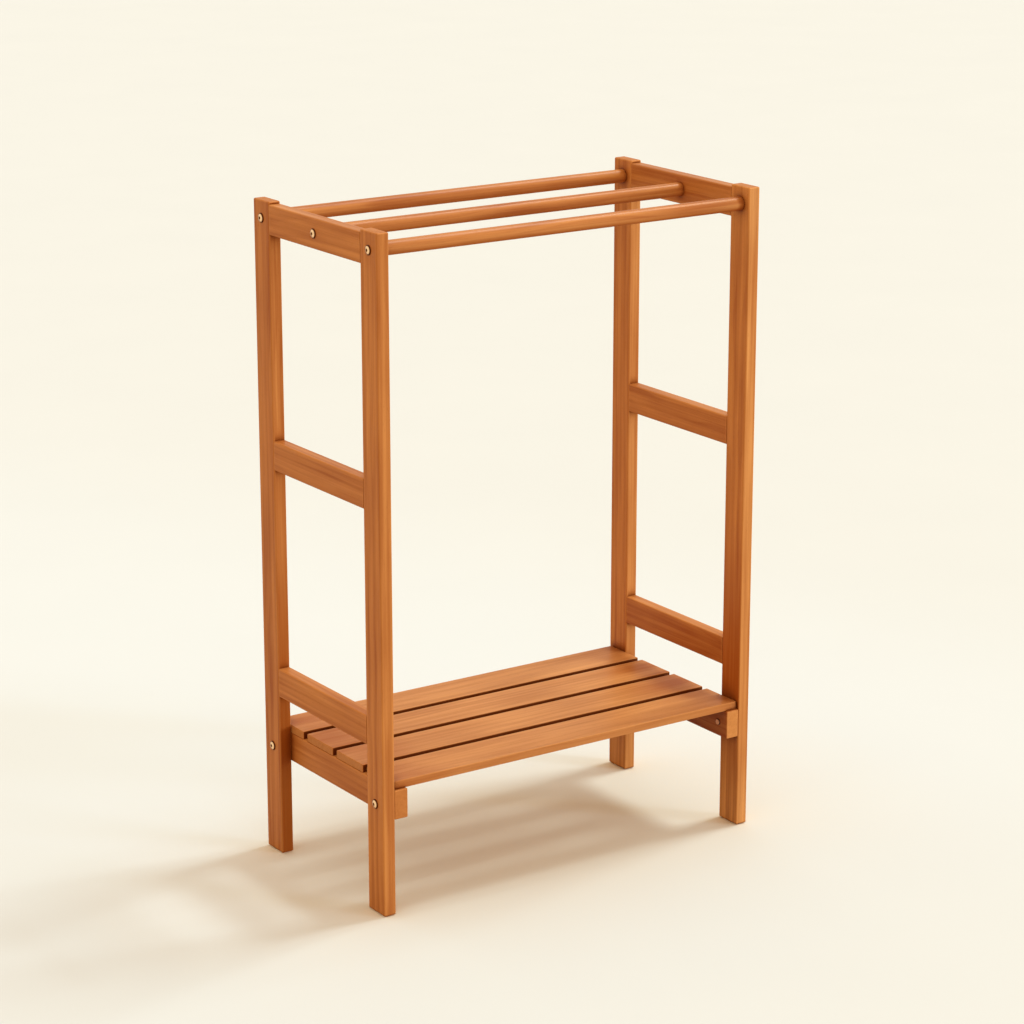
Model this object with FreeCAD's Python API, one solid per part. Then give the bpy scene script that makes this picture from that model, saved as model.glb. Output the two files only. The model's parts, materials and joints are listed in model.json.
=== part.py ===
import FreeCAD, Part
import math
import os

# Blanket stand: two ladder side frames, three round hanging bars and a slatted shelf, held by ten bolts.
# Millimetres. X runs along the bars, the front faces -Y and Z is up.
# The origin is on the floor, under the middle of the stand.

# Overall size of the wood, without the bolt heads
overall_width = 596.9
overall_depth = 304.8
overall_height = 901.7

# Side frames: posts and rails are cut from boards of one thickness
frame_thickness = 17.5
post_depth = 40.0
post_edge_round = 2.0
post_foot_round = 4.0  # round the lower end, which stands on the floor
rail_height = 40.0
rail_edge_round = 2.0
top_rail_drop = 3.5  # the posts stand this far above the top rail
middle_rail_centre = 563.0  # height above the floor
lower_rail_centre = 247.0

# Hanging bars, butted on the inner faces of the side frames
bar_diameter = 19.0
bar_end_round = 1.0

# Shelf: two bearers bolted inside the posts, with slats across them
bearer_thickness = 20.0
bearer_height = 40.0
bearer_centre = 152.0  # height above the floor
bearer_setback = 0.5  # its ends stop this far inside the front and rear of the posts
bearer_edge_round = 1.5
slat_names = ("rear_slat", "rear_middle_slat", "front_middle_slat", "front_slat")
slat_setback = 4.4  # the outer slats stop this far inside the front and rear of the posts
slat_gap = 10.0
slat_thickness = 11.0
slat_end_clearance = 1.0  # from each slat end to the posts
slat_edge_round = 1.0

# Bolts and the threaded inserts that take them
bolt_diameter = 6.0
bolt_head_diameter = 12.5
bolt_head_height = 3.0
bolt_head_dome = 2.0  # the upper part of that height, above the straight rim
bolt_key_sides = 6
bolt_key_width = 4.0  # across the flats of the socket
bolt_key_depth = 2.2
bolt_tip_chamfer = 0.8
bolt_tip_recess = 2.0  # a bolt stops this far short of a bar insert's far end, or of a bearer's inner face
bolt_hole_clearance = 0.3  # all round, in the wood
thread_clearance = 0.1  # all round, in the insert
insert_diameter = 9.0
insert_fit = 0.1  # all round, in the wood
bar_insert_length = 15.0
bar_insert_end_room = 2.0
bearer_insert_proud = 1.5  # its closed, rounded end stands out of the bearer this far
bearer_insert_round = 1.4
bearer_insert_end_wall = 2.0

# Glued wooden dowels
rail_dowel_diameter = 8.0
rail_dowel_length = 30.0  # half in the rail and half in the post
rail_dowel_spacing = 22.0  # between the two dowels of one joint
slat_dowel_diameter = 6.0
slat_dowel_spacing = 36.0  # between the two dowels of one slat end
slat_dowel_cover = 4.0  # wood left above the hole in the slat
slat_dowel_bearer_depth = 9.0
dowel_end_chamfer = 1.0
dowel_fit = 0.1  # all round
dowel_end_room = 1.0  # at the bottom of each hole

# Limits for picking out edges
alignment_limit = 0.99  # cosine above which two directions count as parallel
same_place = 1e-6

# Places worked out from the sizes above
half_width = overall_width / 2
half_depth = overall_depth / 2
inner_face = half_width - frame_thickness
frame_middle = half_width - frame_thickness / 2
post_middle = half_depth - post_depth / 2
post_inner = half_depth - post_depth
top_rail_centre = overall_height - top_rail_drop - rail_height / 2
rail_centres = {"top": top_rail_centre, "middle": middle_rail_centre, "lower": lower_rail_centre}
post_places = {"front": -post_middle, "rear": post_middle}
bar_places = {"front": -post_middle, "middle": 0.0, "rear": post_middle}
bearer_top = bearer_centre + bearer_height / 2
bearer_middle = inner_face - bearer_thickness / 2
slat_count = len(slat_names)
slat_width = (overall_depth - 2 * slat_setback - (slat_count - 1) * slat_gap) / slat_count
slat_dowel_top = bearer_top + slat_thickness - slat_dowel_cover - dowel_end_room
sides = {"left": -1, "right": 1}


def point(x, y, z):
    """Point in the stand's frame."""
    return FreeCAD.Vector(x, y, z)


def board(x_ends, y_ends, z_ends):
    """Square-edged board between two limits on each axis, given in either order."""
    low = point(min(x_ends), min(y_ends), min(z_ends))
    high = point(max(x_ends), max(y_ends), max(z_ends))
    size = high - low
    return Part.makeBox(size.x, size.y, size.z, low)


def rod(start, end, diameter):
    """Round rod from one point to another."""
    axis = end - start
    return Part.makeCylinder(diameter / 2, axis.Length, start, axis)


def rounded_all(shape, radius):
    """Shape with every edge rounded."""
    return shape.makeFillet(radius, shape.Edges)


def rounded_along_y(shape, radius):
    """Board with only its edges from front to rear rounded, so that its ends stay square."""
    long_edges = []
    for edge in shape.Edges:
        if abs(edge.tangentAt(edge.FirstParameter).y) > alignment_limit:
            long_edges.append(edge)
    return shape.makeFillet(radius, long_edges)


def rounded_upright(shape, radius, foot_radius):
    """Upright board with every edge rounded, those round its lower end by a radius of their own."""
    lowest = shape.BoundBox.ZMin
    foot_edges = []
    other_edges = []
    for edge in shape.Edges:
        if all(abs(corner.Z - lowest) < same_place for corner in edge.Vertexes):
            foot_edges.append(edge)
        else:
            other_edges.append(edge)
    return shape.makeFillet(radius, other_edges).common(shape.makeFillet(foot_radius, foot_edges))


def end_circles(shape):
    """Circles at the two ends of a rod."""
    return [edge for edge in shape.Edges if edge.isClosed()]


def end_circle(shape, centre):
    """Circle at the end of a rod that has the given centre."""
    return [edge for edge in end_circles(shape) if edge.CenterOfMass.isEqual(centre, same_place)]


def dowel(start, end, diameter):
    """Wooden dowel with chamfered ends."""
    plain = rod(start, end, diameter)
    return plain.makeChamfer(dowel_end_chamfer, end_circles(plain))


def rail_dowel_lines(side):
    """Start, joint and end points of each dowel in one side frame, by rail and by post."""
    lines = []
    for rail, height in rail_centres.items():
        for place, post_y in post_places.items():
            toward_post = math.copysign(rail_dowel_length / 2, post_y)
            joint_y = math.copysign(post_inner, post_y)
            for offset in (-rail_dowel_spacing / 2, rail_dowel_spacing / 2):
                start = point(side * frame_middle, joint_y - toward_post, height + offset)
                end = point(side * frame_middle, joint_y + toward_post, height + offset)
                lines.append((rail, place, start, end))
    return lines


def rail_dowel_hole(start, end):
    """Cutter for both halves of a rail dowel's hole, with room at each end."""
    room = (end - start).normalize() * dowel_end_room
    return rod(start - room, end + room, rail_dowel_diameter + 2 * dowel_fit)


def slat_middle(number):
    """Y of a slat's middle, counted from the rear."""
    rear = half_depth - slat_setback - slat_width / 2
    return rear - number * (slat_width + slat_gap)


def slat_dowel_lines(side, number):
    """Lower and upper end of the two dowels that hold one end of a slat."""
    lines = []
    for offset in (-slat_dowel_spacing / 2, slat_dowel_spacing / 2):
        y = slat_middle(number) + offset
        low = point(side * bearer_middle, y, bearer_top - slat_dowel_bearer_depth)
        high = point(side * bearer_middle, y, slat_dowel_top)
        lines.append((low, high))
    return lines


def slat_dowel_hole(low, high):
    """Cutter for both halves of a slat dowel's hole, with room at each end."""
    room = point(0, 0, dowel_end_room)
    return rod(low - room, high + room, slat_dowel_diameter + 2 * dowel_fit)


def bolt_hole(side, y, z):
    """Cutter for a bolt's clearance hole right through a post or a rail."""
    start = point(side * (inner_face - frame_thickness), y, z)
    end = point(side * (half_width + frame_thickness), y, z)
    return rod(start, end, bolt_diameter + 2 * bolt_hole_clearance)


def key_socket(side, y, z):
    """Cutter for the key socket in a bolt head, with one corner at the top."""
    top = side * (half_width + bolt_head_height)
    outside = side * (half_width + bolt_head_height + bolt_key_depth)
    corner_step = 2 * math.pi / bolt_key_sides
    corner_radius = bolt_key_width / 2 / math.cos(corner_step / 2)
    corners = []
    for number in range(bolt_key_sides):
        across = corner_radius * math.sin(number * corner_step)
        up = corner_radius * math.cos(number * corner_step)
        corners.append(point(outside, y + across, z + up))
    outline = Part.makePolygon(corners + corners[:1])
    bottom = top - side * bolt_key_depth
    return Part.Face(outline).extrude(point(bottom - outside, 0, 0))


def bolt(side, y, z, grip):
    """Dome-headed bolt through a side frame, with its grip of thread inside the frame's inner face."""
    seat = point(side * half_width, y, z)
    head_top = point(side * (half_width + bolt_head_height), y, z)
    tip = point(side * (inner_face - grip), y, z)
    dome_radius = (bolt_head_diameter ** 2 / 4 + bolt_head_dome ** 2) / (2 * bolt_head_dome)
    dome_middle = head_top - point(side * dome_radius, 0, 0)
    dome = Part.makeSphere(dome_radius, dome_middle, point(side, 0, 0))
    head = rod(seat, head_top, bolt_head_diameter).common(dome)
    shank = rod(seat, tip, bolt_diameter)
    shank = shank.makeChamfer(bolt_tip_chamfer, end_circle(shank, tip))
    return head.fuse(shank).cut(key_socket(side, y, z))


def insert(side, y, z, length):
    """Threaded sleeve, flush with the inner face of the side frame that it is drawn up to."""
    mouth = point(side * inner_face, y, z)
    far_end = point(side * (inner_face - length), y, z)
    sleeve = rod(mouth, far_end, insert_diameter)
    return sleeve.cut(rod(mouth, far_end, bolt_diameter + 2 * thread_clearance))


def closed_insert(side, y, z, depth):
    """Threaded sleeve through a bearer, with a closed and rounded end standing out of its inner face."""
    mouth = point(side * inner_face, y, z)
    far_end = point(side * (inner_face - depth - bearer_insert_proud), y, z)
    thread_end = far_end + point(side * bearer_insert_end_wall, 0, 0)
    sleeve = rod(mouth, far_end, insert_diameter)
    sleeve = sleeve.makeFillet(bearer_insert_round, end_circle(sleeve, far_end))
    return sleeve.cut(rod(mouth, thread_end, bolt_diameter + 2 * thread_clearance))


def insert_hole(side, y, z, depth):
    """Cutter for an insert's hole, from the inner face of the side frame inwards."""
    mouth = point(side * inner_face, y, z)
    bottom = point(side * (inner_face - depth), y, z)
    return rod(mouth, bottom, insert_diameter + 2 * insert_fit)


def post(side, place):
    """Front or rear post of one side frame, bored for its two bolts and for the dowels of three rails."""
    y = post_places[place]
    x_ends = (side * inner_face, side * half_width)
    y_ends = (y - post_depth / 2, y + post_depth / 2)
    shape = rounded_upright(board(x_ends, y_ends, (0, overall_height)), post_edge_round, post_foot_round)
    cutters = [bolt_hole(side, y, top_rail_centre), bolt_hole(side, y, bearer_centre)]
    for rail, own_place, start, end in rail_dowel_lines(side):
        if own_place == place:
            cutters.append(rail_dowel_hole(start, end))
    return shape.cut(cutters)


def rail(side, name):
    """Rail between the two posts of one side frame; the top one is bored for the middle bar's bolt."""
    height = rail_centres[name]
    x_ends = (side * inner_face, side * half_width)
    z_ends = (height - rail_height / 2, height + rail_height / 2)
    shape = rounded_along_y(board(x_ends, (-post_inner, post_inner), z_ends), rail_edge_round)
    cutters = []
    for own_name, place, start, end in rail_dowel_lines(side):
        if own_name == name:
            cutters.append(rail_dowel_hole(start, end))
    if name == "top":
        cutters.append(bolt_hole(side, bar_places["middle"], height))
    return shape.cut(cutters)


def rail_dowels(side):
    """All the dowels of one side frame."""
    solids = []
    for _, _, start, end in rail_dowel_lines(side):
        solids.append(dowel(start, end, rail_dowel_diameter))
    return Part.makeCompound(solids)


def bar(place):
    """Round hanging bar with eased ends, bored at each end for an insert."""
    y = bar_places[place]
    left_end = point(-inner_face, y, top_rail_centre)
    right_end = point(inner_face, y, top_rail_centre)
    shape = rod(left_end, right_end, bar_diameter)
    shape = shape.makeFillet(bar_end_round, end_circles(shape))
    depth = bar_insert_length + bar_insert_end_room
    return shape.cut([insert_hole(side, y, top_rail_centre, depth) for side in sides.values()])


def bearer(side):
    """Shelf bearer on the inner faces of two posts, bored through for inserts and from above for dowels."""
    x_ends = (side * inner_face, side * (inner_face - bearer_thickness))
    y_end = half_depth - bearer_setback
    z_ends = (bearer_centre - bearer_height / 2, bearer_top)
    shape = rounded_all(board(x_ends, (-y_end, y_end), z_ends), bearer_edge_round)
    cutters = [insert_hole(side, y, bearer_centre, bearer_thickness) for y in post_places.values()]
    for number in range(slat_count):
        cutters.extend(slat_dowel_hole(low, high) for low, high in slat_dowel_lines(side, number))
    return shape.cut(cutters)


def slat(number):
    """Shelf slat lying across both bearers, bored from below for its dowels."""
    x_end = inner_face - slat_end_clearance
    y = slat_middle(number)
    y_ends = (y - slat_width / 2, y + slat_width / 2)
    z_ends = (bearer_top, bearer_top + slat_thickness)
    shape = rounded_all(board((-x_end, x_end), y_ends, z_ends), slat_edge_round)
    cutters = []
    for side in sides.values():
        cutters.extend(slat_dowel_hole(low, high) for low, high in slat_dowel_lines(side, number))
    return shape.cut(cutters)


def slat_dowels():
    """All the dowels between the slats and the bearers."""
    solids = []
    for side in sides.values():
        for number in range(slat_count):
            for low, high in slat_dowel_lines(side, number):
                solids.append(dowel(low, high, slat_dowel_diameter))
    return Part.makeCompound(solids)


def fastener_group(make, places, height, length):
    """The same fastener at each of the given places on both side frames."""
    solids = []
    for side in sides.values():
        for y in places.values():
            solids.append(make(side, y, height, length))
    return Part.makeCompound(solids)


nodes = {}
for side_name, side in sides.items():
    for place in post_places:
        nodes[f"{side_name}_{place}_post"] = post(side, place)
    for name in rail_centres:
        nodes[f"{side_name}_{name}_rail"] = rail(side, name)
    nodes[f"{side_name}_rail_dowels"] = rail_dowels(side)
    nodes[f"{side_name}_shelf_bearer"] = bearer(side)
for place in bar_places:
    nodes[f"{place}_bar"] = bar(place)
for number, name in enumerate(slat_names):
    nodes[name] = slat(number)
nodes["slat_dowels"] = slat_dowels()
bar_bolt_grip = bar_insert_length - bolt_tip_recess
bearer_bolt_grip = bearer_thickness - bolt_tip_recess
nodes["bar_inserts"] = fastener_group(insert, bar_places, top_rail_centre, bar_insert_length)
nodes["bar_bolts"] = fastener_group(bolt, bar_places, top_rail_centre, bar_bolt_grip)
nodes["bearer_inserts"] = fastener_group(closed_insert, post_places, bearer_centre, bearer_thickness)
nodes["bearer_bolts"] = fastener_group(bolt, post_places, bearer_centre, bearer_bolt_grip)

os.makedirs("parts", exist_ok=True)
for name, shape in nodes.items():
    shape.exportStep(f"parts/{name}.step")
    print(name, "solids", len(shape.Solids), "valid", shape.isValid(), "volume", round(shape.Volume, 1))
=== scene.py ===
import json
import math

import bmesh
import bpy
from mathutils import Matrix, Vector

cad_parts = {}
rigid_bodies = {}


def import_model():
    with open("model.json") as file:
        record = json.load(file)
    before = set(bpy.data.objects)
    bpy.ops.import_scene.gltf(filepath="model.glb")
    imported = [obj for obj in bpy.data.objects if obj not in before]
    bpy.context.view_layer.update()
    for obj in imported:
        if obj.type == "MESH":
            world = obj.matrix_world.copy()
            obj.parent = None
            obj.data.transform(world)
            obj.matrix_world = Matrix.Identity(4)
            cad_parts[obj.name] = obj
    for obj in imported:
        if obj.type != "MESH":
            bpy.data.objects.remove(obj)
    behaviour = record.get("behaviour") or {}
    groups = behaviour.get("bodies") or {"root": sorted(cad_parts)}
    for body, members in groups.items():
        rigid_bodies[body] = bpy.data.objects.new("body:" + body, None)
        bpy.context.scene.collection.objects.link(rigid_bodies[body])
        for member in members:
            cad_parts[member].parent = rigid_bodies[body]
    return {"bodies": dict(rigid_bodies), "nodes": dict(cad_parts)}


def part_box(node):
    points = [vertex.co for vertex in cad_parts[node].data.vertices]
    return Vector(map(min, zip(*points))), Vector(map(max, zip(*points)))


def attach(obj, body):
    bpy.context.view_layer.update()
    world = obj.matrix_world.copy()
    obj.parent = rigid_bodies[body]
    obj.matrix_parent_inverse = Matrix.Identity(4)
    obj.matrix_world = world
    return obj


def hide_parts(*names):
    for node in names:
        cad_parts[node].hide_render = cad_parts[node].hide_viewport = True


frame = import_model()
for spare in list(bpy.data.objects):
    if spare not in [*frame["nodes"].values(), *frame["bodies"].values()]:
        bpy.data.objects.remove(spare)
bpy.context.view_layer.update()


# Posts of the side frames
# Four straight posts of orange-brown hardwood, sawn and planed square, with every edge sanded round.
# A satin lacquer lets the straight grain show. Corners are darker with painted shade, edges are paler, partly
# from wear and partly a painted highlight, and two posts have a redder face of painted shade.
class Shade:
    """One output of a shader node. Arithmetic on it adds Math nodes to the same material."""

    def __init__(self, tree, socket=None):
        self.tree = tree
        self.socket = socket

    def node(self, kind, settings, inputs, output=0):
        """Adds a node of one kind: its settings come first, then the values or links of its sockets."""
        made = self.tree.nodes.new("ShaderNode" + kind)
        for name, value in settings.items():
            setattr(made, name, value)
        for name, value in inputs.items():
            if isinstance(value, Shade):
                self.tree.links.new(value.socket, made.inputs[name])
            else:
                made.inputs[name].default_value = value
        return Shade(self.tree, made.outputs[output] if made.outputs else None)

    def math(self, operation, first, second):
        return self.node("Math", {"operation": operation}, {0: first, 1: second})

    def __add__(self, other):
        return self.math("ADD", self, other)

    def __sub__(self, other):
        return self.math("SUBTRACT", self, other)

    def __rsub__(self, other):
        return self.math("SUBTRACT", other, self)

    def __mul__(self, other):
        return self.math("MULTIPLY", self, other)

    def __truediv__(self, other):
        return self.math("DIVIDE", self, other)

    def __pow__(self, other):
        return self.math("POWER", self, other)

    def __mod__(self, other):
        return self.math("FLOORED_MODULO", self, other)

    def __abs__(self):
        return self.math("ABSOLUTE", self, 0.0)

    __radd__ = __add__
    __rmul__ = __mul__


def rise(value, low, high):
    """Goes smoothly from 0 to 1 as a value goes from low to high."""
    inputs = {"Value": value, "From Min": low, "From Max": high}
    return value.node("MapRange", {"interpolation_type": "SMOOTHSTEP"}, inputs)


def combined(operation, first, second, output=0):
    """One vector operation on two vectors."""
    start = first if isinstance(first, Shade) else second
    return start.node("VectorMath", {"operation": operation}, {0: first, 1: second}, output)


def parts(vector):
    """The X, Y and Z of a vector."""
    return [vector.node("SeparateXYZ", {}, {0: vector}, number) for number in range(3)]


def speckle(vector, scales, detail):
    """Soft noise from 0 to 1 with its own scale, in repeats per metre, on each axis."""
    stretched = combined("MULTIPLY", vector, scales)
    inputs = {"Vector": stretched, "Scale": 1.0, "Detail": detail, "Roughness": 0.55}
    return vector.node("TexNoise", {}, inputs)


def tinted(share, first, second):
    """Colour that goes from the first to the second as the share goes from 0 to 1."""
    settings = {"data_type": "RGBA", "clamp_factor": False}
    return share.node("Mix", settings, {0: share, 6: first, 7: second}, 2)


def new_material(name):
    """Empty node material, with a start for its nodes and its Object coordinates."""
    material = bpy.data.materials.new(name)
    material.use_nodes = True
    material.node_tree.nodes.clear()
    start = Shade(material.node_tree)
    return material, start, start.node("TexCoord", {}, {}, "Object")


def finished(start, inputs):
    """Surface shader with the given sockets, joined to the material's output."""
    surface = start.node("BsdfPrincipled", {}, inputs)
    start.node("OutputMaterial", {}, {"Surface": surface})


grain_turns = {"X": (0, 0, 0), "Y": (0, 0, math.pi / 2), "Z": (0, -math.pi / 2, 0)}
grain_orders = {"X": (0, 1, 2), "Y": (1, 0, 2), "Z": (2, 1, 0)}
frame_amber = (0.61, 0.253, 0.068, 1)
frame_russet = (0.43, 0.146, 0.034, 1)


def lacquered_wood(board, along, number, tone, amber=frame_amber, russet=frame_russet, end_tone=0.12,
                   top_light_and_shade_tone=0.0, ripple=1.0, reach=0.013, corner_shading=0.65, gloss=0.1, tip_light_and_shade=0.0,
                   shaded_face=None):
    """Satin lacquered hardwood for one board: grain along it, growth rings through it, and a tone of its own.
    The end tone deepens the sawn ends, and ripple shortens the grain's streaks. The top tone is painted shade
    that deepens the level faces, or painted light that pales them where it is negative. Corners within reach
    of another board are darker with painted shade, less so on level faces and flush seams, and not at all on
    sawn ends or at the floor. The tip tone reddens both ends of the board with painted shade, or pales them
    with painted light where it is negative. Faces that look one way can be reddened with painted shade,
    fading between two heights, with a share of umber. Edges are paler, partly from wear and partly a painted
    highlight. Undersides are redder with painted shade, and rougher. These tones follow the photograph's
    shading."""
    umber_pores_and_shade = (0.10, 0.018, 0.002, 1)
    rubbed_and_lit_edge = (0.70, 0.33, 0.11, 1)
    cherry = (0.36, 0.088, 0.010, 1)
    ring_width = 0.009
    golden_angle = 2.4
    tip_start = 0.01
    tip_length = 0.12
    shaded_face_edge = 0.04
    edge_paling_from = 0.0006
    edge_paling_to = 0.0026
    satin_roughness = 0.40
    low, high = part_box(board)
    half = (high - low) / 2
    material, start, everywhere = new_material(board + "_wood")
    inputs = {"Vector": everywhere, "Location": (low + high) / 2, "Rotation": grain_turns[along]}
    local = start.node("Mapping", {"vector_type": "TEXTURE"}, inputs)

    pith_distance = 0.05 + 0.03 * math.sin(number * golden_angle)
    pith_angle = number * golden_angle
    pith = (0.83 * number, pith_distance * math.cos(pith_angle), pith_distance * math.sin(pith_angle))
    trunk = combined("ADD", local, pith)
    _, across, through = parts(trunk)
    sway = speckle(trunk, (3.0, 12, 12), 2.0)
    radius = (across * across + through * through) ** 0.5 + sway * 0.03
    ring = (radius / ring_width) % 1.0
    late_wood = rise(ring, 0.2, 0.85) * (1 - rise(ring, 0.85, 1.0))
    band = rise(speckle(trunk, (2.4 * ripple, 130, 130), 2.0), 0.3, 0.7)
    streak = speckle(trunk, (6 * ripple, 480, 480), 2.0)
    fibre = speckle(trunk, (25, 2600, 2600), 2.0)
    pore = rise(speckle(trunk, (110, 2900, 2900), 1.0), 0.64, 0.76)
    cloud = rise(speckle(trunk, (5.0, 30, 30), 2.0), 0.3, 0.7)

    facing = start.node("NewGeometry", {}, {}, "Normal")
    axis = [float(order == "XYZ".index(along)) for order in range(3)]
    end_grain = rise(abs(combined("DOT_PRODUCT", facing, axis, 1)), 0.75, 0.98)
    sideways, forwards, upwards = parts(facing)
    level = rise(upwards, 0.5, 0.95)
    underside = 1 - rise(upwards, -0.8, -0.1)
    above_floor = parts(everywhere)[2]
    figure = (late_wood - 0.3) * 0.28 + (band - 0.5) * 0.6 + (cloud - 0.5) * 0.55
    depth = 0.5 + tone + figure * (1 - end_grain * 0.6) + (streak - 0.5) * 0.75 + (fibre - 0.5) * 0.3
    # Painted light and shade: the level faces take a top tone of their own.
    colour = tinted(depth + end_grain * end_tone + level * top_light_and_shade_tone, amber, russet)
    colour = tinted(pore * 0.3, colour, umber_pores_and_shade)

    size = [half[order] for order in grain_orders[along]]
    from_middle = local.node("VectorMath", {"operation": "ABSOLUTE"}, {0: local})
    insets = parts(combined("SUBTRACT", size, from_middle))
    nearer = insets[0].math("MINIMUM", insets[0], insets[1])
    farther = insets[0].math("MAXIMUM", insets[0], insets[1])
    from_edge = nearer.math("MAXIMUM", nearer, farther.math("MINIMUM", farther, insets[2]))
    # Painted shade reddens both ends of the board; a negative tip tone pales them with painted light instead.
    tip = (1 - rise(insets[0], tip_start, tip_length)) * (1 - end_grain) * (0.5 + cloud) * tip_light_and_shade
    colour = tinted(tip, colour, cherry)
    # Painted shade: faces that look one way are reddened, and partly umbered, between two heights.
    if shaded_face:
        towards, lowest, highest, umber_share = shaded_face
        turned = rise(combined("DOT_PRODUCT", facing, towards, 1), 0.5, 0.95)
        ramp = rise(above_floor, lowest - shaded_face_edge, lowest) * (1 - rise(above_floor, lowest, highest))
        colour = tinted(turned * ramp * (0.6 + streak * 0.7), colour, cherry)
        colour = tinted(turned * ramp * ramp * umber_share, colour, umber_pores_and_shade)
    # Edges are paler, partly from wear and partly a painted highlight.
    edge_wear_and_highlight = (1 - rise(from_edge, edge_paling_from, edge_paling_to)) * (0.4 + streak)
    colour = tinted(edge_wear_and_highlight * 0.22, colour, rubbed_and_lit_edge)
    # Painted shade: corners within reach of another board are darkened towards cherry and umber.
    shelter = start.node("AmbientOcclusion", {"samples": 8}, {"Distance": reach}, "AO")
    seam = rise(abs(sideways * forwards), 0.05, 0.3)
    bare = (1 - level * 0.5) * (1 - seam * 0.8) * (1 - end_grain) * rise(above_floor, 0.01, 0.1)
    painted_corner_shade = (1 - rise(shelter, corner_shading - 0.25, 0.98)) * bare
    colour = tinted(painted_corner_shade * 0.9, colour, cherry)
    colour = tinted(painted_corner_shade * painted_corner_shade * corner_shading, colour, umber_pores_and_shade)
    # Painted shade: undersides are reddened.
    colour = tinted(underside * 0.6, colour, cherry)

    roughness = satin_roughness + pore * 0.12 + (band - 0.5) * 0.06 + end_grain * 0.08
    roughness = roughness + edge_wear_and_highlight * 0.05 + underside * 0.5
    height = fibre * 0.4 - pore * 0.6 - late_wood * 0.2
    bump = start.node("Bump", {}, {"Strength": 0.15, "Distance": 0.0002, "Height": height})
    surface = {"Base Color": colour, "Roughness": roughness, "Normal": bump, "Specular IOR Level": gloss}
    finished(start, surface)
    return material


def dressed(board, material):
    """Gives a board of the frame its material."""
    frame["nodes"][board].material_slots[0].material = material


# The rear posts are toned a little deeper as painted shade, and the right front post's ends are paled with
# painted light.
post_looks = {"left_front_post": {"tone": 0.0},
              "left_rear_post": {"tone": 0.1, "shaded_face": ((0, -1, 0), 0.0, 0.8, 0.3)},
              "right_front_post": {"tone": 0.0, "reach": 0.05, "tip_light_and_shade": -0.65,
                                   "shaded_face": ((-1, 0, 0), 0.18, 0.5, 0.0)},
              "right_rear_post": {"tone": 0.1}}
post_finish = {"end_tone": 0.1, "reach": 0.02, "corner_shading": 0.75}
for number, (post, looks) in enumerate(post_looks.items(), 1):
    dressed(post, lacquered_wood(post, "Z", number, **{**post_finish, **looks}))

# Rails of the side frames
# Three flat rails of the same hardwood lie between the posts of each frame, flush with them on both sides.
# Two glued dowels at each end hold them, so only a fine seam shows between rail and post.
# Each has a tone of its own and a top tone, painted shade that deepens its level face. The right lower one is
# painted deep, as it is in shade, and its top is paled with painted light.
rail_tones = {"left_top_rail": (0.0, 0.1), "left_middle_rail": (0.1, 0.3),
              "left_lower_rail": (0.0, 0.4), "right_top_rail": (0.1, 0.15),
              "right_middle_rail": (0.15, 0.2), "right_lower_rail": (0.75, -0.6)}
for number, (rail, (tone, top_light_and_shade_tone)) in enumerate(rail_tones.items(), 5):
    dressed(rail, lacquered_wood(rail, "Y", number, tone, top_light_and_shade_tone=top_light_and_shade_tone))

# Hanging bars
# Three round bars turned from the same hardwood, with softly rounded ends, butt against the two side frames.
# Each is held by a bolt at either end, and has the same lacquer with more gloss and ends paled with painted
# light.
# The bars differ in tone as painted shade, deepest on the front bar.
bar_tones = {"front_bar": 0.46, "middle_bar": 0.30, "rear_bar": 0.24}
bar_finish = {"reach": 0.012, "corner_shading": 0.55, "gloss": 0.22, "tip_light_and_shade": -0.35}
for number, (bar, tone) in enumerate(bar_tones.items(), 11):
    dressed(bar, lacquered_wood(bar, "X", number, tone, **bar_finish))

# Shelf bearers
# Two hardwood bearers bolted to the inner faces of the posts carry the shelf.
# Their ends come level with the front and rear of the posts. The right one is toned deep, as it is in shade.
bearer_tones = {"left_shelf_bearer": (0.12, -0.1), "right_shelf_bearer": (1.0, -1.3)}
for number, (bearer, (tone, end_tone)) in enumerate(bearer_tones.items(), 14):
    dressed(bearer, lacquered_wood(bearer, "Y", number, tone, end_tone=end_tone, reach=0.04, corner_shading=0.65))

# Shelf slats
# Four wide, thin hardwood slats lie across the bearers with narrow gaps between them.
# They are dowelled from below, so no fixing shows on top. Their ends and front edges are reddened with
# painted shade.
slat_amber = (0.585, 0.262, 0.084, 1)
slat_russet = (0.45, 0.178, 0.051, 1)
# The rear and front slats are toned paler, painted light against the posts' shadows on them.
slat_looks = {"rear_slat": (-0.4, 0.5), "rear_middle_slat": (-0.15, 0.6),
              "front_middle_slat": (-0.15, 0.6), "front_slat": (-0.25, 0.4)}
# Painted shade reddens the slats' front faces.
slat_shaded_face = ((0, -1, 0), 0.0, 0.26, 0.0)
# The gaps between the slats are darkened strongly with painted shade.
for number, (slat, (tone, tip_light_and_shade)) in enumerate(slat_looks.items(), 16):
    dressed(slat, lacquered_wood(slat, "X", number, tone, slat_amber, slat_russet, end_tone=0.2, ripple=2.2,
                                 reach=0.03, corner_shading=0.95, tip_light_and_shade=tip_light_and_shade, shaded_face=slat_shaded_face))

# Dowels
# Bare turned dowels of pale wood, glued into the rail ends, posts, bearers and slats.
# None shows on the finished stand.
dowel_pale = (0.62, 0.42, 0.24, 1)
dowel_deep = (0.50, 0.31, 0.16, 1)
dowel_material, start, everywhere = new_material("bare_dowel_wood")
fleck = speckle(everywhere, (700, 90, 700), 2.0)
finished(start, {"Base Color": tinted(fleck, dowel_pale, dowel_deep), "Roughness": 0.6 + fleck * 0.2})
for dowels in ("left_rail_dowels", "right_rail_dowels", "slat_dowels"):
    dressed(dowels, dowel_material)

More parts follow.
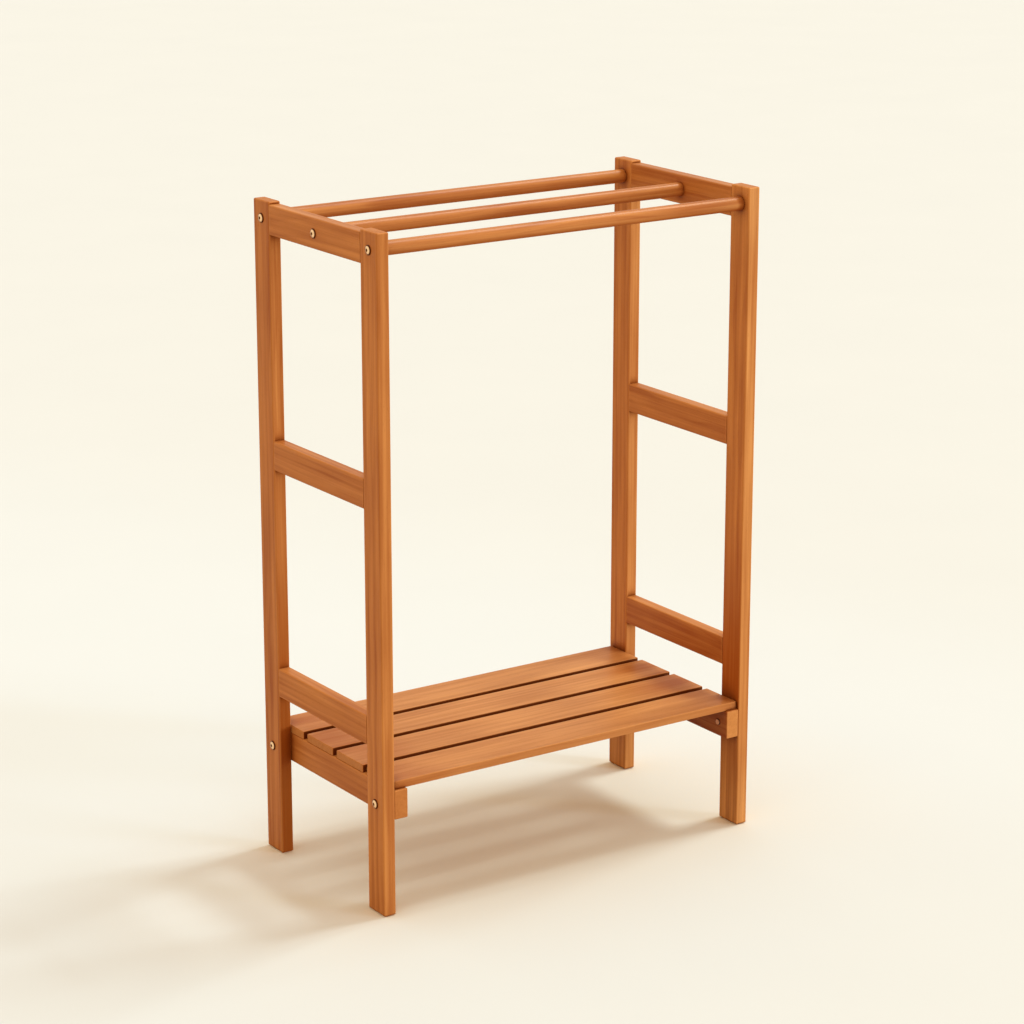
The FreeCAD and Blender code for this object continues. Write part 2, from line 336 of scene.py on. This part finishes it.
# Threaded inserts
# Turned brass sleeves let into the bar ends and the bearers take the bolts.
# The closed, rounded ends of the bearers' inserts stand a little out of the wood and are dull.
insert_bronze = (0.62, 0.28, 0.14, 1)
insert_dull = (0.46, 0.18, 0.08, 1)
insert_shadow = (0.03, 0.006, 0.001, 1)
insert_end = 0.25945
insert_material, start, everywhere = new_material("dull_insert_brass")
tarnish = speckle(everywhere, (900, 900, 900), 3.0)
below_end = abs(parts(everywhere)[0]) - insert_end
rim = rise(below_end, 0.00004, 0.0003)
colour = tinted(rim * 0.9, tinted(tarnish, insert_bronze, insert_dull), insert_shadow)
finished(start, {"Base Color": colour, "Roughness": 0.34 + tarnish * 0.2, "Metallic": 0.7 - rim * 0.6})
for inserts in ("bar_inserts", "bearer_inserts"):
    dressed(inserts, insert_material)

# Bolts
# Brass-plated bolts with low domed heads and a six-sided key socket hold bars and bearers to the frames.
# The plating is polished on the dome, with faint turning marks. Its low rim where it meets the wood and its
# socket are darkened with painted shade, and the rear, lower half of each dome is browner with painted shade
# and painted reflection, after the photograph's shading.
head_radius = 0.00625
head_height = 0.003
rim_height = 0.001
rim_ease = 0.0002
shank_radius = 0.003
tip_chamfer = 0.0008
socket_flat = 0.002
socket_depth = 0.0022
socket_ease = 0.00012
around = 48
same_place = 1e-7
same_height = 1e-6
bar_bolt_length = 0.0305
bearer_bolt_length = 0.0355
outer_face = -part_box("left_top_rail")[0].x
dome_rise = head_height - rim_height
dome_radius = (head_radius ** 2 + dome_rise ** 2) / (2 * dome_rise)
socket_corner = socket_flat / math.cos(math.pi / 6)
socket_ring = socket_corner * 1.15


def dome_height(radius):
    """Height of the head's dome above its seat at a distance from the bolt's axis."""
    return head_height - dome_radius + math.sqrt(dome_radius ** 2 - radius ** 2)


def only(kind, items):
    """The vertices, edges or faces among what an operator gives back."""
    return [item for item in items if isinstance(item, kind)]


def bolt(length):
    """One bolt along the X axis, with its seat at the origin and its head towards +X."""
    shape = bmesh.new()
    dome_steps = 8
    profile = []
    for step in range(dome_steps + 1):
        radius = socket_ring + (head_radius - socket_ring) * step / dome_steps
        profile.append((dome_height(radius), radius))
    profile += [(0, head_radius), (0, shank_radius), (tip_chamfer - length, shank_radius)]
    profile += [(-length, shank_radius - tip_chamfer), (-length, 0)]
    corners = [shape.verts.new((x, radius, 0)) for x, radius in profile]
    outline = [shape.edges.new(pair) for pair in zip(corners, corners[1:])]
    bmesh.ops.spin(shape, geom=corners + outline, axis=(1, 0, 0), angle=2 * math.pi, steps=around,
                   use_merge=True)
    bmesh.ops.remove_doubles(shape, verts=shape.verts, dist=same_place)
    mouth = [edge for edge in shape.edges if edge.is_boundary]
    rim = [edge for edge in shape.edges
           if all(abs(end.co.x - rim_height) < same_height for end in edge.verts)]
    bmesh.ops.bevel(shape, geom=rim, offset=rim_ease, affect="EDGES", segments=3, profile=0.5, material=-1)

    corner_up = Matrix.Rotation(math.pi / 6, 4, "X") @ Matrix.Rotation(math.pi / 2, 4, "Y")
    place = Matrix.Translation((dome_height(socket_corner), 0, 0)) @ corner_up
    hexagon = bmesh.ops.create_circle(shape, segments=6, radius=socket_corner, matrix=place)["verts"]
    sides = list({edge for point in hexagon for edge in point.link_edges})
    bmesh.ops.subdivide_edges(shape, edges=sides, cuts=around // 6 - 1)
    socket = [edge for edge in shape.edges if edge.is_wire]
    bmesh.ops.bridge_loops(shape, edges=mouth + socket)
    wall = bmesh.ops.extrude_edge_only(shape, edges=socket)["geom"]
    bmesh.ops.translate(shape, verts=only(bmesh.types.BMVert, wall), vec=(-socket_depth, 0, 0))
    bmesh.ops.contextual_create(shape, geom=[edge for edge in shape.edges if edge.is_boundary])
    bmesh.ops.bevel(shape, geom=socket, offset=socket_ease, affect="EDGES", segments=2, profile=0.5,
                    material=-1)
    bmesh.ops.recalc_face_normals(shape, faces=shape.faces)
    return shape


def bolt_group(name, node, places, height, length):
    """The same bolt at each given place on both side frames, as one piece in place of its CAD node."""
    sharp_angle = math.radians(32)
    shape = bolt(length)
    from_axis = shape.verts.layers.float.new("from_axis")
    for point in shape.verts:
        point[from_axis] = math.hypot(point.co.y, point.co.z)
    for face in shape.faces:
        face.smooth = True
    for edge in shape.edges:
        edge.smooth = edge.calc_face_angle() < sharp_angle
    pattern = [*shape.verts, *shape.edges, *shape.faces]
    pattern_points = list(shape.verts)
    for turn in (0, math.pi):
        for place in places:
            copy = bmesh.ops.duplicate(shape, geom=pattern)["geom"]
            move = Matrix.Translation((0, place, height)) @ Matrix.Rotation(turn, 4, "Z")
            move = move @ Matrix.Translation((outer_face, 0, 0))
            bmesh.ops.transform(shape, verts=only(bmesh.types.BMVert, copy), matrix=move)
    bmesh.ops.delete(shape, geom=pattern_points, context="VERTS")
    mesh = bpy.data.meshes.new(name)
    shape.to_mesh(mesh)
    shape.free()
    piece = bpy.data.objects.new(name, mesh)
    bpy.context.scene.collection.objects.link(piece)
    mesh.materials.append(bolt_material)
    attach(piece, "root")
    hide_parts(node)


bolt_gold = (0.98, 0.65, 0.37, 1)
bolt_worn = (0.86, 0.54, 0.27, 1)
bolt_rim_shade = (0.09, 0.020, 0.002, 1)
bolt_socket_shade = (0.28, 0.10, 0.012, 1)
bolt_rear_shade = (0.36, 0.14, 0.045, 1)
bolt_material, start, everywhere = new_material("plated_bolt_brass")
distance = start.node("Attribute", {"attribute_name": "from_axis"}, {}, "Fac")
stand_off = abs(parts(everywhere)[0]) - outer_face
patina = speckle(everywhere, (420, 420, 420), 3.0)
turning = start.node("TexNoise", {"noise_dimensions": "1D"}, {"W": distance, "Scale": 5200.0, "Detail": 1.0})
low_rim = 1 - rise(stand_off, 0.0014, 0.0019)
in_socket = (1 - rise(stand_off, 0.0023, 0.0026)) * (1 - rise(distance, 0.0024, 0.0027))
facing = start.node("NewGeometry", {}, {}, "Normal")
rearwards_down = (0, 0.9, -0.45)
rear_half = rise(combined("DOT_PRODUCT", facing, rearwards_down, 1), -0.08, 0.2)
colour = tinted(rise(patina, 0.4, 0.75), bolt_gold, bolt_worn)
# Painted shade and reflection: the rear, lower half of each dome is browner.
colour = tinted(rear_half * 0.95, colour, bolt_rear_shade)
# Painted shade: the low rim where it meets the wood is dark.
colour = tinted(low_rim, colour, bolt_rim_shade)
# Painted shade: the inside of the key socket is dark.
colour = tinted(in_socket * 0.8, colour, bolt_socket_shade)
bump = start.node("Bump", {}, {"Strength": 0.12, "Distance": 0.0001, "Height": turning})
roughness = 0.14 + patina * 0.10 + low_rim * 0.3 + in_socket * 0.2
bright = (1 - low_rim) * (1 - in_socket * 0.7)
finished(start, {"Base Color": colour, "Metallic": bright, "Roughness": roughness, "Normal": bump,
                 "Specular IOR Level": 0.08})

bar_middles = [sum(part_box(bar), Vector()).y / 2 for bar in ("front_bar", "middle_bar", "rear_bar")]
bar_height = sum(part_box("front_bar"), Vector()).z / 2
bearer_height = sum(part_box("left_shelf_bearer"), Vector()).z / 2
bolt_group("bar_bolt_heads", "bar_bolts", bar_middles, bar_height, bar_bolt_length)
post_middles = (bar_middles[0], bar_middles[2])
bolt_group("bearer_bolt_heads", "bearer_bolts", post_middles, bearer_height, bearer_bolt_length)

# Floor, light and camera
# The stand is on a plain pale floor, painted warmer as shade where the stand shelters it. A broad lamp high
# on the right, a low one in front on the right, a soft spot from the right front and an even surround light
# it.
# The camera looks from the left front, a little from above.
floor_pale = (0.70, 0.79, 0.85, 1)
floor_worn = (0.68, 0.77, 0.83, 1)
floor_bounce = (0.42, 0.34, 0.24, 1)
floor_shade_warmth = (0.98, 0.86, 0.60, 1)
floor_reach = 20
shelter_reach = 0.4
floor_shape = bmesh.new()
bmesh.ops.create_grid(floor_shape, x_segments=1, y_segments=1, size=floor_reach)
floor_mesh = bpy.data.meshes.new("floor")
floor_shape.to_mesh(floor_mesh)
floor_shape.free()
floor = bpy.data.objects.new("floor", floor_mesh)
bpy.context.scene.collection.objects.link(floor)
floor_material, start, everywhere = new_material("pale_floor")


def seen_directly(start):
    """1 for what the camera sees, straight or in a reflection, and 0 for what only gives light."""
    seen = start.node("LightPath", {}, {}, "Is Camera Ray")
    for ray in ("Is Glossy Ray", "Is Transmission Ray"):
        seen = seen.math("MAXIMUM", seen, start.node("LightPath", {}, {}, ray))
    return seen


shading = speckle(everywhere, (3.0, 3.0, 3.0), 2.0)
shelter = start.node("AmbientOcclusion", {"samples": 8}, {"Distance": shelter_reach}, "AO")
floor_plain = tinted(shading, floor_pale, floor_worn)
# Painted shade: the floor is warmer where the stand shelters it.
floor_colour = tinted(seen_directly(start), floor_bounce, tinted(1 - shelter, floor_plain, floor_shade_warmth))
finished(start, {"Base Color": floor_colour, "Roughness": 0.7, "Specular IOR Level": 0.2})
floor_mesh.materials.append(floor_material)


def lamp(kind, name, place, target, settings):
    """One lamp at a place, aimed at a target."""
    light = bpy.data.lights.new(name, kind)
    for setting, value in settings.items():
        setattr(light, setting, value)
    holder = bpy.data.objects.new(name, light)
    holder.location = place
    holder.rotation_euler = (Vector(place) - Vector(target)).to_track_quat("Z", "Y").to_euler()
    bpy.context.scene.collection.objects.link(holder)
    return holder


high_light = {"energy": 1.30, "angle": math.radians(14), "color": (0.88, 1.0, 1.0)}
lamp("SUN", "high_lamp", (2.08, 0.0, 3.4), (0, 0, 0), high_light)
front_light = {"energy": 1.45, "angle": math.radians(15), "color": (0.65, 0.78, 1.0)}
lamp("SUN", "front_lamp", (2.4, -3.1, 0.5), (0, 0, 0), front_light).visible_glossy = False
side_light = {"energy": 520, "spot_size": math.radians(28), "spot_blend": 1.0, "shadow_soft_size": 0.3,
              "color": (0.52, 0.78, 1.0)}
lamp("SPOT", "side_lamp", (3.11, -2.99, 0.9), (0.68, 0.15, 0.72), side_light).visible_glossy = False

world = bpy.data.worlds.new("pale_surround")
bpy.context.scene.world = world
world.use_nodes = True
world.node_tree.nodes.clear()
start = Shade(world.node_tree)
lit = start.node("Background", {}, {"Color": (1.0, 0.74, 0.50, 1), "Strength": 1.05})
shown = start.node("Background", {}, {"Color": (0.96, 0.914, 0.79, 1), "Strength": 1.0})
surround = start.node("MixShader", {}, {0: seen_directly(start), 1: lit, 2: shown})
start.node("OutputWorld", {}, {"Surface": surround})

looks_down = 15.828
turned_right = 34.128
camera_data = bpy.data.cameras.new("photo_view")
camera_data.lens = 108.3
camera_data.sensor_width = 36
camera = bpy.data.objects.new("photo_view", camera_data)
camera.location = (-2.2428, -3.3158, 1.6003)
camera.rotation_euler = (math.radians(90 - looks_down), 0, math.radians(-turned_right))
bpy.context.scene.collection.objects.link(camera)
bpy.context.scene.camera = camera
bpy.context.scene.view_settings.view_transform = "Standard"
